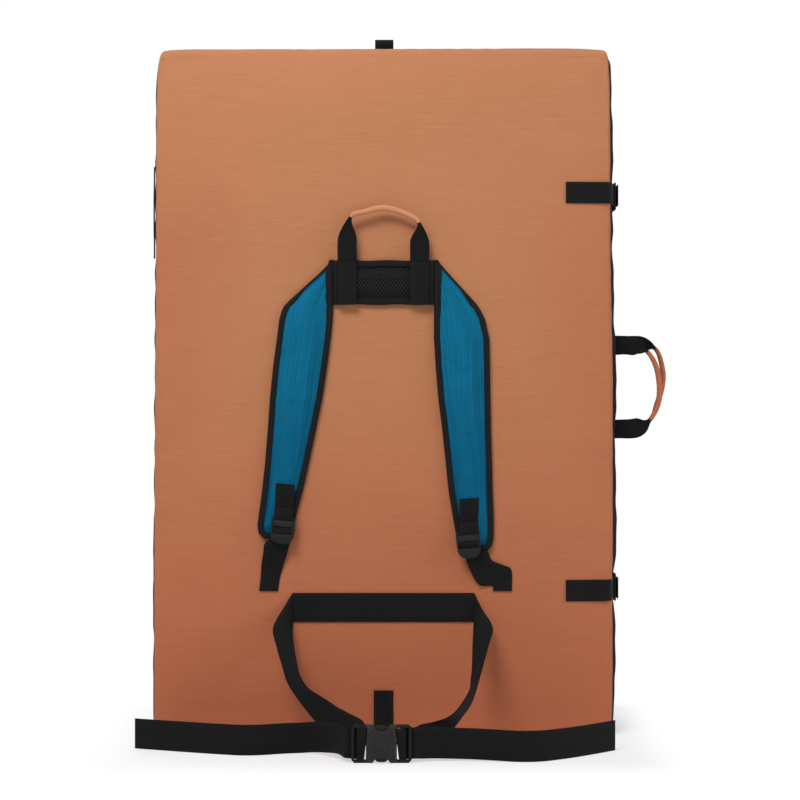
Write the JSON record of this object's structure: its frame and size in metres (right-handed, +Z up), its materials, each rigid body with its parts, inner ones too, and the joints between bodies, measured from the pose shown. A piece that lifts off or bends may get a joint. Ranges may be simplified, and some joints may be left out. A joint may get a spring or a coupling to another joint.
{
  "type": "bouldering crash pad",
  "caption": "Folded two-part foam crash pad with a fabric hinge, hook closures, a backpack harness with waist belt, and grip handles.",
  "frame": {"origin": "on the floor, under the middle of the front half's foot", "axes": "+Z up along the long edges, -Y out of the harness face, +X to the right of someone facing it"},
  "size_m": [0.6917, 0.352, 0.9317],
  "materials": {
    "orange_cover_fabric": "woven, matt, fine crosswise slubs",
    "black_cover_fabric": "woven, matt",
    "black_webbing": "flat woven webbing, matt",
    "binding_tape": "folded ribbed tape, matt",
    "spacer_mesh": "open spacer mesh, matt",
    "blue_strap_fabric": "woven, fine lengthwise ribs",
    "soft_foam": "open-cell foam",
    "firm_foam": "closed-cell foam",
    "moulded_plastic": "moulded, fine satin grain",
    "hook_metal": "tumbled, satin"
  },
  "bodies": {
    "front_half": {"front_outer_panel": "orange_cover_fabric", "front_side_band": "black_cover_fabric", "front_landing_panel": "black_cover_fabric", "front_core_foam": "soft_foam", "front_deck_foam": "firm_foam", "fold_hinge_strip": "black_cover_fabric", "hinge_side_loop_upper": "black_webbing", "hinge_side_loop_lower": "black_webbing", "harness_yoke": "spacer_mesh", "yoke_binding": "binding_tape", "grab_handle_tab_left": "black_webbing", "grab_handle_tab_right": "black_webbing", "closure_webbing_upper": "black_webbing", "closure_webbing_lower": "black_webbing", "waist_band": "black_webbing", "lower_center_tab": "black_webbing", "strap_lower_webbing_left": "black_webbing", "strap_lower_webbing_right": "black_webbing", "hip_belt_loop_left": "black_webbing", "hip_belt_loop_right": "black_webbing"},
    "rear_half": {"rear_outer_panel": "black_cover_fabric", "rear_side_band": "black_cover_fabric", "rear_landing_panel": "black_cover_fabric", "rear_core_foam": "soft_foam", "rear_deck_foam": "firm_foam", "top_loop": "black_webbing", "closure_strap_upper": "black_webbing", "closure_strap_lower": "black_webbing"},
    "grab_handle": {"grab_handle_webbing": "black_webbing", "grab_handle_grip": "orange_cover_fabric"},
    "side_handle_front": {"side_handle_front_webbing": "black_webbing", "side_handle_front_grip": "orange_cover_fabric"},
    "side_handle_rear": {"side_handle_rear_webbing": "black_webbing", "side_handle_rear_grip": "orange_cover_fabric"},
    "closure_upper": {"closure_hook_upper": "hook_metal"},
    "closure_lower": {"closure_hook_lower": "hook_metal"},
    "shoulder_strap_left": {"shoulder_cover_left": "blue_strap_fabric", "shoulder_foam_left": "soft_foam", "shoulder_backing_left": "spacer_mesh", "shoulder_binding_left": "binding_tape", "shoulder_web_left": "black_webbing"},
    "shoulder_strap_right": {"shoulder_cover_right": "blue_strap_fabric", "shoulder_foam_right": "soft_foam", "shoulder_backing_right": "spacer_mesh", "shoulder_binding_right": "binding_tape", "shoulder_web_right": "black_webbing"},
    "ladder_lock_left": {"ladder_lock_left": "moulded_plastic"},
    "ladder_lock_right": {"ladder_lock_right": "moulded_plastic"},
    "hip_belt": {"buckle_female": "moulded_plastic", "hip_belt_tail_left": "black_webbing"},
    "buckle_male": {"buckle_male": "moulded_plastic", "hip_belt_tail_right": "black_webbing"},
    "release_upper": {"release_prong_upper": "moulded_plastic"},
    "release_lower": {"release_prong_lower": "moulded_plastic"}
  },
  "joints": [
    {"name": "fold", "type": "hinge", "parent": "front_half", "child": "rear_half", "pos_m": [-0.3066, 0.0453, 0.448], "axis": [0, 0, 1], "range_deg": [0, 180], "deforming": ["fold_hinge_strip"]},
    {"name": "grab_handle_tip", "type": "hinge", "parent": "front_half", "child": "grab_handle", "pos_m": [0, -0.0532, 0.6245], "axis": [1, 0, 0], "range_deg": [0, 100]},
    {"name": "side_handle_front_swing", "type": "hinge", "parent": "front_half", "child": "side_handle_front", "pos_m": [0.3069, 0.0035, 0.4577], "axis": [0, 0, -1], "range_deg": [0, 85]},
    {"name": "side_handle_rear_swing", "type": "hinge", "parent": "rear_half", "child": "side_handle_rear", "pos_m": [0.3069, 0.0871, 0.4577], "axis": [0, 0, 1], "range_deg": [0, 85]},
    {"name": "closure_upper_swing", "type": "hinge", "parent": "rear_half", "child": "closure_upper", "pos_m": [0.305, 0.0985, 0.7105], "axis": [0, 0, 1], "range_deg": [0, 150], "deforming": ["closure_strap_upper", "closure_webbing_upper"]},
    {"name": "closure_lower_swing", "type": "hinge", "parent": "rear_half", "child": "closure_lower", "pos_m": [0.305, 0.0985, 0.191], "axis": [0, 0, 1], "range_deg": [0, 150], "deforming": ["closure_strap_lower", "closure_webbing_lower"]},
    {"name": "shoulder_strap_left_swing", "type": "hinge", "parent": "front_half", "child": "shoulder_strap_left", "pos_m": [-0.0535, -0.045, 0.5637], "axis": [0.1919, 0, 0.9814], "range_deg": [0, 75], "deforming": ["strap_lower_webbing_left"]},
    {"name": "shoulder_strap_right_swing", "type": "hinge", "parent": "front_half", "child": "shoulder_strap_right", "pos_m": [0.0535, -0.045, 0.5637], "axis": [0.1129, 0, -0.9936], "range_deg": [0, 75], "deforming": ["strap_lower_webbing_right"]},
    {"name": "ladder_lock_left_tilt", "type": "hinge", "parent": "shoulder_strap_left", "child": "ladder_lock_left", "pos_m": [-0.13591, -0.0577, 0.2835], "axis": [-0.9962, 0, 0.0872], "range_deg": [0, 40]},
    {"name": "ladder_lock_right_tilt", "type": "hinge", "parent": "shoulder_strap_right", "child": "ladder_lock_right", "pos_m": [0.11347, -0.0577, 0.26712], "axis": [-0.9962, 0, -0.0872], "range_deg": [0, 40]},
    {"name": "hip_belt_lift", "type": "hinge", "parent": "front_half", "child": "hip_belt", "pos_m": [0, -0.046, 0.169], "axis": [-1, 0, 0], "range_deg": [0, 100], "deforming": ["hip_belt_loop_left", "hip_belt_loop_right"]},
    {"name": "buckle_pull", "type": "slide", "parent": "hip_belt", "child": "buckle_male", "axis": [1, 0, 0], "range_m": [0, 0.045], "deforming": ["release_prong_upper", "release_prong_lower"]},
    {"name": "release_upper_squeeze", "type": "hinge", "parent": "buckle_male", "child": "release_upper", "pos_m": [0.015, -0.21, 0.0404], "axis": [0, -1, 0], "range_deg": [0, 8], "stiffness_Nm_per_rad": 0.3},
    {"name": "release_lower_squeeze", "type": "hinge", "parent": "buckle_male", "child": "release_lower", "pos_m": [0.015, -0.21, 0.0064], "axis": [0, 1, 0], "range_deg": [0, 8], "stiffness_Nm_per_rad": 0.3}
  ]
}
